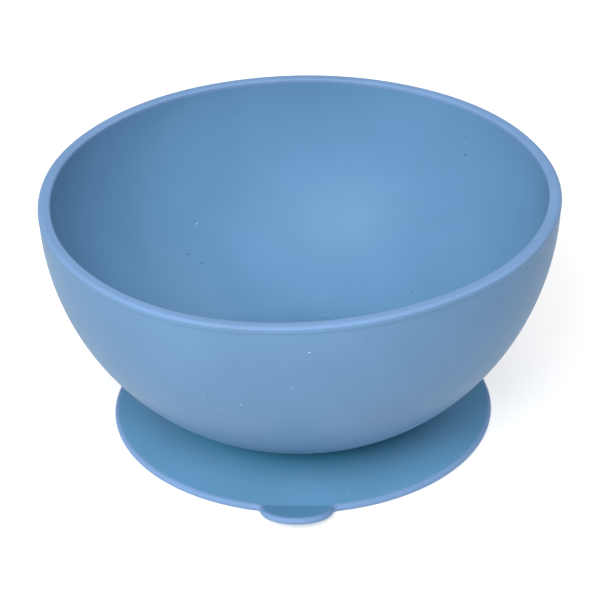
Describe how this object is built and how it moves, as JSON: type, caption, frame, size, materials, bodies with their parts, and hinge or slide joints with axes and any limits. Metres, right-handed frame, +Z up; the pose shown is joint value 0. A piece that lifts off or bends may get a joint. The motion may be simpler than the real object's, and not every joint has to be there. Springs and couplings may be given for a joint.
{
  "type": "suction bowl",
  "caption": "Deep round silicone feeding bowl with a thick rim, on a wide suction base with a pull tab that releases it.",
  "frame": {"origin": "on the table, on the bowl's axis, centre of the suction base's sealing face", "axes": "+Z up out of the bowl's mouth, -Y towards the pull tab, X to the sides"},
  "size_m": [0.125, 0.125, 0.0611],
  "materials": {
    "silicone": "matte"
  },
  "bodies": {
    "lip_ring": {"sealing_lip": "silicone", "suction_membrane": "silicone"},
    "bowl_and_hub": {"bowl": "silicone", "base_hub": "silicone"},
    "tab": {"pull_tab": "silicone"}
  },
  "joints": [
    {"name": "suction_press", "type": "slide", "parent": "lip_ring", "child": "bowl_and_hub", "axis": [0, 0, -1], "range_m": [0, 0.0025], "stiffness_N_per_m": 8000, "springref_m": -0.00015, "deforming": ["suction_membrane"]},
    {"name": "tab_lift", "type": "hinge", "parent": "lip_ring", "child": "tab", "pos_m": [0, -0.0455, 0.00189], "axis": [-1, 0, 0], "range_deg": [-12, 60], "stiffness_Nm_per_rad": 0.01}
  ]
}
